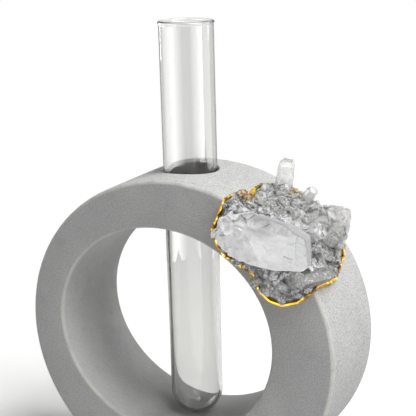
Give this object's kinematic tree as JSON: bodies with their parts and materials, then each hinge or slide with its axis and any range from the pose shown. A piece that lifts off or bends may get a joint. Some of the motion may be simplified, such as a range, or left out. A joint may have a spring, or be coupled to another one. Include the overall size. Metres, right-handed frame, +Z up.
{
  "type": "test tube vase",
  "caption": "Oval concrete ring that holds a round-bottomed glass test tube upright as a bud vase, with a gilt-edged rock crystal cluster bonded over its upper corner",
  "frame": {"origin": "centre of the flat foot: under the middle of the ring's outer oval and half way through its depth", "axes": "+Z up along the tube, +X to the right seen from the front, -Y towards the viewer, out of the ring's front face"},
  "size_m": [0.1246, 0.0503, 0.1733],
  "materials": {
    "concrete": "cast concrete, fine grained, smooth with small pores, faint mottling and worn edges",
    "tube_glass": "clear thin laboratory glass with a fire-polished rim",
    "adhesive": "set clear adhesive, dulled by dust from the concrete",
    "smoky_quartz": "broken grey quartz, glassy and sparkling, with white veils",
    "gilding": "bright metal leaf laid over an uneven edge, worn to brown in the hollows",
    "clear_quartz": "clear rock crystal with grey depths, white veils and bright edges",
    "milky_quartz": "milky rock crystal, satin, with cloudy bands and small pits"
  },
  "bodies": {
    "stand": {"concrete_ring": "concrete", "adhesive_bed": "adhesive", "quartz_base": "smoky_quartz", "gilt_edge": "gilding", "druse_points": "clear_quartz", "main_crystal": "milky_quartz", "rear_crystal": "clear_quartz", "upright_crystal": "clear_quartz", "leaning_crystal": "clear_quartz", "lower_crystal": "clear_quartz"},
    "tube": {"test_tube": "tube_glass"}
  },
  "joints": [
    {"name": "tube_lift", "type": "slide", "parent": "stand", "child": "tube", "axis": [0, 0, 1], "range_m": [0, 0.12]}
  ]
}
